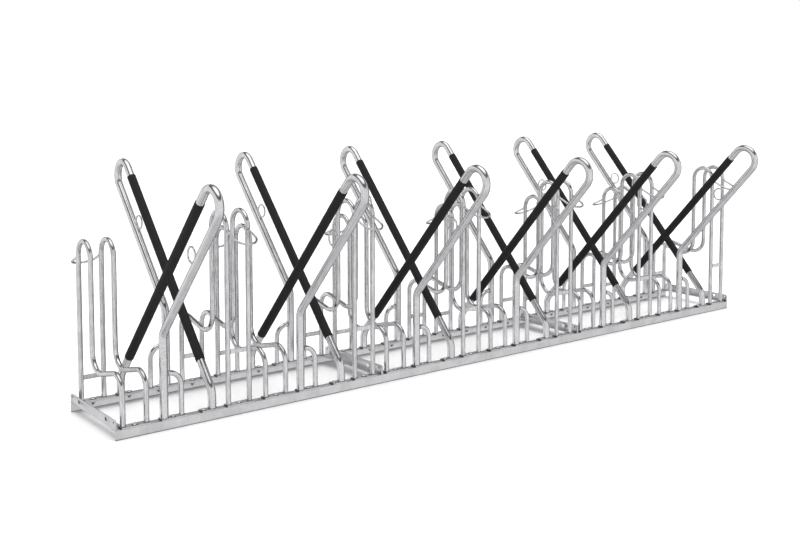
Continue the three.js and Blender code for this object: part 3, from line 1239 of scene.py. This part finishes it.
@dataclass
class SupportArm:
    """Leaning tube loop with its brace, lock ring and grip sleeve."""

    shop: Workshop
    foot: Foot
    entry: Entry
    from_bay: float = 0.083
    tube: float = 0.01345
    angle: float = TUBE_ANGLE
    knee_height: float = 0.0934
    knee_radius: float = 0.060
    low_knee_radius: float = 0.050
    reach: float = 0.964
    spacing: float = 0.103
    foot_to_bolt: float = 0.0295
    overhang: float = 0.0145
    single_overhang: float = 0.0125
    foot_bead: float = 0.0023
    brace_height: float = 0.175
    brace_radius: float = 0.045
    brace_bead: float = 0.002
    brace_bead_out: float = 0.99
    ring_radius: float = 0.024
    ring_wire: float = 0.00325
    ring_from_tube: float = 0.0382
    ring_from_tip: float = 0.1985
    ring_weld: Pair = (0.0034, 0.004)
    ring_weld_steps: int = 8
    ring_weld_out: float = 0.92
    ring_weld_apart: float = 0.0055
    sleeve_radius: float = 0.0155
    sleeve_gap: float = 0.00025
    sleeve_from_knee: float = 0.1095
    sleeve_length: float = 0.760
    sleeve_edge: float = 0.0008
    sleeve_lip: Pair = (0.0003, 0.0002)
    sleeve_rings: int = 40

    @property
    def way(self) -> Vector:
        """Direction of the tubes, up and out."""
        return Vector((0.0, -math.cos(self.angle), math.sin(self.angle)))

    @property
    def drop(self) -> Vector:
        """Direction from the upper tube to the lower one."""
        return Vector((0.0, -math.sin(self.angle), -math.cos(self.angle)))

    @property
    def knee(self) -> Vector:
        """Corner where the upright foot meets the leaning tube."""
        return Vector((-self.from_bay, self.shop.layout.foot_line, self.knee_height))

    def tube_loop(self, shape: Shape) -> None:
        """Add the bent tube.

        Args:
            shape: Mesh that takes it.
        """
        layout = self.shop.layout
        start = layout.bar_start
        upper_tip = self.knee + self.way * self.reach
        lower_tip = upper_tip + self.drop * self.spacing
        along = (lower_tip.y + layout.foot_line) / self.way.y
        low_knee = lower_tip - self.way * along
        line = bent_line([
            Corner(Vector((self.knee.x, layout.foot_line, start))),
            Corner(self.knee, self.knee_radius),
            Corner(upper_tip, self.spacing / 2),
            Corner(lower_tip, self.spacing / 2),
            Corner(low_knee, self.low_knee_radius),
            Corner(Vector((self.knee.x, -layout.foot_line, start))),
        ])
        shape.bar(line, ALONG, self.tube, sides=28)

    def brace(self, shape: Shape, seed: int) -> None:
        """Add the brace beside the lower knee.

        Args:
            shape: Mesh that takes it.
            seed: Seed of its weld bead.
        """
        layout = self.shop.layout
        x = -self.from_bay + 2 * self.foot_to_bolt
        y = -layout.foot_line
        line = bent_line([
            Corner(Vector((x, y, layout.bar_start))),
            Corner(Vector((x, y, self.brace_height)), self.brace_radius),
            Corner(Vector((self.knee.x, y, self.brace_height))),
        ])
        shape.bar(line, ACROSS, layout.bar)
        end = Vector((self.knee.x + self.tube * self.brace_bead_out, y, self.brace_height))
        shape.bead(end, ALONG, layout.bar, self.brace_bead, seed)

    def lock_ring(self, shape: Shape) -> None:
        """Add the ring on the lower tube with its two welds.

        Args:
            shape: Mesh that takes it.
        """
        centre = (
            self.knee
            + self.way * (self.reach - self.spacing / 2 - self.ring_from_tip)
            + self.drop * (self.spacing - self.ring_from_tube)
        )
        shape.hoop_ring(centre, ALONG, self.ring_radius, self.ring_wire)
        thick, reach = self.ring_weld
        profile = [(0.0, -reach)]
        for step in range(1, self.ring_weld_steps):
            turn = math.pi * step / self.ring_weld_steps
            profile.append((thick * math.sin(turn), -reach * math.cos(turn)))
        profile.append((0.0, reach))
        touch = centre + self.drop * (self.ring_from_tube - self.tube * self.ring_weld_out)
        for hand in (-1, 1):
            at = touch + self.way * (hand * self.ring_weld_apart)
            shape.turned(profile, at, self.way, 14, Tone.SECOND)

    def sleeve(self) -> Shape:
        """Draw the grip sleeve.

        Returns:
            The sleeve's shape.
        """
        shape = Shape()
        inner = self.tube + self.sleeve_gap
        outer = self.sleeve_radius
        edge = self.sleeve_edge
        length = self.sleeve_length
        lip_in, lip_down = self.sleeve_lip
        rounding = [QUARTER * step / 4 for step in range(5)]
        profile = [(inner, lip_down), (inner + lip_in, 0.0)]
        profile += [
            (outer - edge + edge * math.sin(turn), edge - edge * math.cos(turn))
            for turn in rounding
        ]
        profile += [
            (outer, edge + (length - 2 * edge) * step / self.sleeve_rings)
            for step in range(1, self.sleeve_rings)
        ]
        profile += [
            (outer - edge + edge * math.cos(turn), length - edge + edge * math.sin(turn))
            for turn in rounding
        ]
        profile += [(inner + lip_in, length), (inner, length - lip_down)]
        at = self.knee + self.way * self.sleeve_from_knee
        shape.turned(profile, at, self.way, sides=32, closed=True)
        return shape

    def build(self, number: int, bay: float) -> None:
        """Build the arm of one bay.

        Args:
            number: Number of the bay.
            bay: Middle of the bay.
        """
        layout = self.shop.layout
        bars, plates, bolts = Shape(), Shape(), Shape()
        seed = 1000 * number + (500 if self.entry is Entry.REAR else 0)
        self.tube_loop(bars)
        self.brace(bars, seed)
        self.lock_ring(bars)
        bolt_x = -self.from_bay + self.foot_to_bolt
        brace_x = bolt_x + self.foot_to_bolt
        for place, radius in (
            (Vector((self.knee.x, layout.foot_line, layout.plate_top)), self.tube),
            (Vector((self.knee.x, -layout.foot_line, layout.plate_top)), self.tube),
            (Vector((brace_x, -layout.foot_line, layout.plate_top)), layout.bar),
        ):
            seed += 3
            bars.bead(place, UP, radius, self.foot_bead, seed)
        half_plate = self.foot_to_bolt + self.overhang
        self.foot.plate(plates, bolt_x - half_plate, bolt_x + half_plate, -1)
        self.foot.plate(plates, bolt_x - half_plate, bolt_x + self.single_overhang, 1)
        for side in (-1, 1):
            self.foot.bolt(bolts, bolt_x, side)
        name = f"{self.entry.value}_support_arm_{number}"
        spot = layout.place(bay, self.entry)
        paint = self.shop.paint
        steel = [paint.tube_zinc[self.entry], paint.weld]
        self.shop.hand_over(bars, f"{name}_bars", "galvanised", steel, spot, name)
        self.foot.hand_over(plates, bolts, name, spot)
        grip = f"{self.entry.value}_grip_sleeve_{number}"
        self.shop.hand_over(
            self.sleeve(), f"{grip}_hose", "sleeve", [paint.rubber], spot, grip, sharp=60.0
        )


@dataclass
class FloorSection:
    """Two rails and two end angles."""

    shop: Workshop
    toe: float = 0.0016
    root: float = 0.0030
    heel: float = 0.0007
    brim: float = 0.0006
    rail_steps: int = 24
    end_height: float = 0.031
    end_flange: float = 0.031
    end_corner: float = 0.010
    foot_corner: float = 0.001
    flange_corner: float = 0.0005
    seam_hole: float = 0.006
    seam_inset: float = 0.072
    seam_height: float = 0.050
    corner_hole: float = 0.00325
    corner_inset: float = 0.014
    corner_height: float = 0.054
    edge: float = 0.0005

    def rail_profile(self) -> list[Pair]:
        """Draw the section of a front rail, with its rounded corners.

        Returns:
            Its points in Y and Z.
        """
        layout = self.shop.layout
        outer = -layout.half_depth
        inner = outer + layout.rail_flange
        height = layout.rail_height
        steel = layout.steel
        corners = [
            ((outer, 0.0), self.brim), ((outer + steel, 0.0), self.toe),
            ((outer + steel, height - steel), self.root), ((inner, height - steel), self.toe),
            ((inner, height), self.brim), ((outer, height), self.heel),
        ]
        points: list[Pair] = []
        count = len(corners)
        for index, ((y, z), radius) in enumerate(corners):
            before = Vector(corners[index - 1][0]) - Vector((y, z))
            after = Vector(corners[(index + 1) % count][0]) - Vector((y, z))
            before.normalize()
            after.normalize()
            centre = Vector((y, z)) + (before + after) * radius
            for step in range(5):
                turn = QUARTER * step / 4
                spot = centre - after * (radius * math.cos(turn))
                spot -= before * (radius * math.sin(turn))
                points.append((spot.x, spot.y))
        return points

    def rail(self) -> Shape:
        """Draw a front rail about the middle of its section.

        Returns:
            The rail's shape.
        """
        layout = self.shop.layout
        shape = Shape()
        end = (layout.section_pitch - layout.gap) / 2
        start = -end + self.edge
        length = 2 * end - 2 * self.edge
        stations = [
            -end, start,
            *(start + length * step / self.rail_steps for step in range(1, self.rail_steps)),
            end - self.edge, end,
        ]
        profile = self.rail_profile()
        shape.solid([shape.ring(Vector((x, y, z)) for y, z in profile) for x in stations])
        return shape

    def end_angle(self) -> Shape:
        """Draw a left end angle about the middle of its section.

        Returns:
            The end angle's shape.
        """
        layout = self.shop.layout
        shape = Shape()
        bottom = layout.plate_base
        top = bottom + self.end_height
        half = layout.half_depth
        corners = (self.foot_corner, self.foot_corner, self.end_corner, self.end_corner)
        outline = rounded_box((-half, bottom), (half, top), corners, count=10)
        holes: list[list[Pair]] = []
        for side in (-1, 1):
            seam_y = side * (half - self.seam_inset)
            holes.append(circle(seam_y, self.seam_height, self.seam_hole))
            corner_y = side * (half - self.corner_inset)
            holes.append(circle(corner_y, self.corner_height, self.corner_hole, count=24))
        outer = layout.gap / 2 - layout.section_pitch / 2
        upright = Matrix((
            (0.0, 0.0, 1.0, outer + layout.steel / 2),
            (1.0, 0.0, 0.0, 0.0),
            (0.0, 1.0, 0.0, 0.0),
            (0.0, 0.0, 0.0, 1.0),
        ))
        shape.sheet_metal(outline, holes, layout.steel, self.edge, upright)
        reach = half - layout.rail_flange - layout.gap
        flange = rounded_box(
            (outer + layout.steel / 2, -reach), (outer + self.end_flange, reach),
            (self.flange_corner,) * 4, count=2,
        )
        flat = Matrix.Translation((0.0, 0.0, bottom + layout.steel / 2))
        shape.sheet_metal(flange, [], layout.steel, self.edge, flat)
        return shape

    def build(self, number: int, middle: float) -> None:
        """Build one section.

        Args:
            number: Number of the section.
            middle: Its middle along the rack.
        """
        paint = self.shop.paint
        for entry, hand in ((Entry.FRONT, "left"), (Entry.REAR, "right")):
            spot = self.shop.layout.place(middle, entry)
            node = f"rail_{entry.value}_{number}"
            steel = [paint.sheet_zinc]
            self.shop.hand_over(self.rail(), f"{node}_angle", "galvanised", steel, spot, node)
            node = f"end_angle_{hand}_{number}"
            # The second finish paints shade on the hole walls.
            steel = [paint.sheet_zinc, paint.shaded]
            self.shop.hand_over(self.end_angle(), f"{node}_plate", "galvanised", steel, spot, node)


@dataclass
class Seam:
    """The two bolts that hold neighbouring sections together."""

    shop: Workshop
    shank: float = 0.005
    head: float = 0.0098
    head_height: float = 0.0064
    head_face: float = 0.84
    head_ease: float = 0.82
    thread_turns: int = 16
    thread_root: float = 0.9
    tip: float = 0.78
    tip_length: float = 0.001
    nut_height: float = 0.008
    nut_face: float = 0.86
    nut_ease: float = 0.001
    bolt_end: float = 0.004
    inset: float = 0.072
    height: float = 0.050

    def bolt(self, at: Vector, face: float) -> Shape:
        """Return one bolt.

        Args:
            at: Middle of the seam where the bolt passes.
            face: Distance from there to the outer faces of the end angles.

        Returns:
            The bolt's shape.
        """
        shape = Shape()
        top = -face - self.head_height
        shape.turned([
            (0.0, top), (self.head * self.head_face, top),
            (self.head, -face - self.head_height * self.head_ease), (self.head, -face),
            (0.0, -face),
        ], at, ALONG, 6)
        sunk = -face - self.shop.layout.sink
        end = face + self.nut_height + self.bolt_end
        length = end - face - self.tip_length
        thread = [(0.0, sunk), (self.shank, sunk), (self.shank, face)]
        for step in range(self.thread_turns):
            radius = self.shank * (self.thread_root if step % 2 else 1.0)
            thread.append((radius, face + length * (step + 1) / self.thread_turns))
        thread += [(self.shank * self.tip, end), (0.0, end)]
        shape.turned(thread, at, ALONG, 20)
        return shape

    def nut(self, at: Vector, face: float) -> Shape:
        """Return one nut.

        Args:
            at: Middle of the seam where the bolt passes.
            face: Distance from there to the outer faces of the end angles.

        Returns:
            The nut's shape.
        """
        shape = Shape()
        bore = self.shank + self.shop.layout.gap
        rim = self.head * self.nut_face
        top = face + self.nut_height
        shape.turned([
            (bore, face), (rim, face), (self.head, face + self.nut_ease),
            (self.head, top - self.nut_ease), (rim, top), (bore, top),
        ], at, ALONG, 6, closed=True)
        return shape

    def build(self, number: int, x: float) -> None:
        """Build one seam.

        Args:
            number: Number of the seam.
            x: Its place along the rack.
        """
        layout = self.shop.layout
        face = layout.steel + layout.gap * 1.5
        spot = layout.place(x, Entry.FRONT)
        plated = [self.shop.paint.bright]
        for side, label in ((-1, "front"), (1, "rear")):
            at = Vector((0.0, side * (layout.half_depth - self.inset), self.height))
            node = f"seam_bolt_{label}_{number}"
            self.shop.hand_over(
                self.bolt(at, face), f"{node}_shank", "fastener", plated, spot, node
            )
            node = f"seam_nut_{label}_{number}"
            self.shop.hand_over(self.nut(at, face), f"{node}_hex", "fastener", plated, spot, node)


# Studio


@dataclass(frozen=True)
class Studio:
    """Floor, soft light and the camera at the photograph's place."""

    eye: tuple[float, float, float] = (-2.7995, -3.2800, 1.1255)
    turn: tuple[float, float, float] = (
        math.radians(85.839), math.radians(0.054), math.radians(-37.522)
    )
    lens: float = 49.691
    film: float = 36.0
    shift: float = -0.15
    view_depth: float = 200.0
    floor_half: float = 60.0
    backdrop: float = 1.0
    sun_power: float = 2.5
    sun_spread: float = math.radians(110.0)
    sun_way: tuple[float, float, float] = (0.16, 0.10, 1.0)
    wall: float = 0.96
    ceiling: float = 0.66
    level_least: float = 0.0001
    dark_way: float = math.radians(36.0)
    dark_core: float = math.radians(54.0)
    dark_reach: float = math.radians(67.0)
    dark_depth: float = 0.74
    ground_depth: float = 0.26
    ground_fade: tuple[float, float] = (-0.85, -0.35)
    dark_fade: tuple[float, float] = (-0.85, -0.50)
    dark_top: tuple[float, float] = (0.29, 0.40)
    band_rise: tuple[float, float] = (0.48, 0.60)
    band_depth: float = 0.88
    ceiling_rise: tuple[float, float] = (0.78, 0.92)

    def floor(self) -> None:
        """Lay the floor."""
        data = bpy.data.meshes.new("floor")
        half = self.floor_half
        data.from_pydata(
            [(-half, -half, 0.0), (half, -half, 0.0), (half, half, 0.0), (-half, half, 0.0)],
            [], [(0, 1, 2, 3)],
        )
        data.materials.append(FloorFinish().build())
        floor = bpy.data.objects.new("floor", data)
        bpy.context.scene.collection.objects.link(floor)
        floor.visible_glossy = False

    def sun(self) -> None:
        """Hang the wide soft key light over the rack."""
        data = bpy.data.lights.new("key_light", "SUN")
        data.energy = self.sun_power
        data.angle = self.sun_spread
        lamp = bpy.data.objects.new("key_light", data)
        lamp.rotation_euler = Vector(self.sun_way).to_track_quat("Z", "Y").to_euler()
        lamp.visible_glossy = False
        bpy.context.scene.collection.objects.link(lamp)

    def surroundings(self) -> None:
        """Surround the rack with pale walls, one dark side, a dark band and a lit ceiling."""
        world = bpy.data.worlds.new("studio_room")
        board = Board(world)
        way = board.add("ShaderNodeTexCoord", output="Generated")
        x, y, z = (board.part(way, axis) for axis in "XYZ")
        level = (x * x + y * y + self.level_least) ** 0.5
        toward = (x * math.cos(self.dark_way) + y * math.sin(self.dark_way)) / level
        side = toward.stepped(math.cos(self.dark_reach), math.cos(self.dark_core))
        dark = side * (z.stepped(*self.dark_fade) - z.stepped(*self.dark_top))
        band = z.stepped(*self.band_rise) - z.stepped(*self.ceiling_rise)
        ground = 1 - z.stepped(*self.ground_fade)
        light = self.wall * (1 - self.dark_depth * dark) * (1 - self.band_depth * band)
        light = light * (1 - self.ground_depth * ground)
        light = light + self.ceiling * z.stepped(*self.ceiling_rise)
        plain = (1.0, 1.0, 1.0, 1.0)
        room = board.add("ShaderNodeBackground", None, {"Color": plain, "Strength": light})
        sheet = board.add("ShaderNodeBackground", None, {"Color": plain, "Strength": self.backdrop})
        seen = board.add("ShaderNodeLightPath", output="Is Camera Ray")
        both = board.add("ShaderNodeMixShader", None, {0: seen, 1: room, 2: sheet})
        board.output("ShaderNodeOutputWorld", both)
        bpy.context.scene.world = world

    def camera(self) -> None:
        """Set the camera."""
        data = bpy.data.cameras.new("photo_view")
        data.lens = self.lens
        data.sensor_width = self.film
        data.shift_y = self.shift
        data.clip_end = self.view_depth
        camera = bpy.data.objects.new("photo_view", data)
        camera.location = self.eye
        camera.rotation_euler = self.turn
        bpy.context.scene.collection.objects.link(camera)
        bpy.context.scene.camera = camera

    def build(self) -> None:
        """Set up the whole studio."""
        self.floor()
        self.surroundings()
        self.sun()
        self.camera()
        bpy.context.scene.view_settings.view_transform = "Standard"


def mix_paint() -> Paint:
    """Mix the finishes of the rack.

    Returns:
        The finishes by their use.
    """
    tube_zinc = {
        entry: GalvanisedFinish(
            f"{entry.value}_tube_zinc", lean=lean, cloud=0.16, streak=0.20, fleck=0.18
        ).build()
        for entry, lean in ((Entry.FRONT, TUBE_LEAN), (Entry.REAR, -TUBE_LEAN))
    }
    # Sheet zinc paints contact shade on its lowest 4.5 mm.
    sheet_zinc = GalvanisedFinish(
        "sheet_zinc", (0.682, 0.68, 0.697, 1.0), cloud=0.22, streak=0.12, fleck=0.14,
        roughness=0.24, contact_shade_height=0.0045,
    ).build()
    return Paint(
        zinc=GalvanisedFinish().build(),
        sheet_zinc=sheet_zinc,
        tube_zinc=tube_zinc,
        weld=WeldFinish().build(),
        rubber=SleeveFinish().build(),
        bright=FastenerFinish().build(),
        # Darker copy of the fastener zinc that paints the shade on the nuts and threads under the
        # rail flange.
        shaded_nut=FastenerFinish(
            "painted_shade_nut", (0.30, 0.30, 0.31, 1.0), (0.13, 0.13, 0.13, 1.0), 0.36
        ).build(),
        # Darkest copy of the fastener zinc that paints shade on the bolt head rims, the hole walls
        # and the cut ends of the plates.
        shaded=FastenerFinish(
            "painted_shade_edge", (0.14, 0.14, 0.14, 1.0), (0.05, 0.05, 0.05, 1.0), 0.42
        ).build(),
    )


def main() -> None:
    """Build the dressed rack and its studio."""
    logging.basicConfig(level=logging.INFO, format="%(message)s")
    layout = Layout()
    shop = Workshop(layout, mix_paint())
    foot = Foot(shop)
    section = FloorSection(shop)
    for number, middle in enumerate(layout.middles(), 1):
        section.build(number, middle)
    seam = Seam(shop)
    for number in range(1, layout.sections):
        seam.build(number, (number - layout.sections / 2) * layout.section_pitch)
    holders = [WheelHolder(shop, foot, tier) for tier in Tier]
    arms = [SupportArm(shop, foot, entry) for entry in Entry]
    for number, bay in enumerate(layout.bays(), 1):
        for unit in (*holders, *arms):
            unit.build(number, bay)
    Studio().build()
    log.info("%d pieces", len(shop.made))


if __name__ == "__main__":
    main()
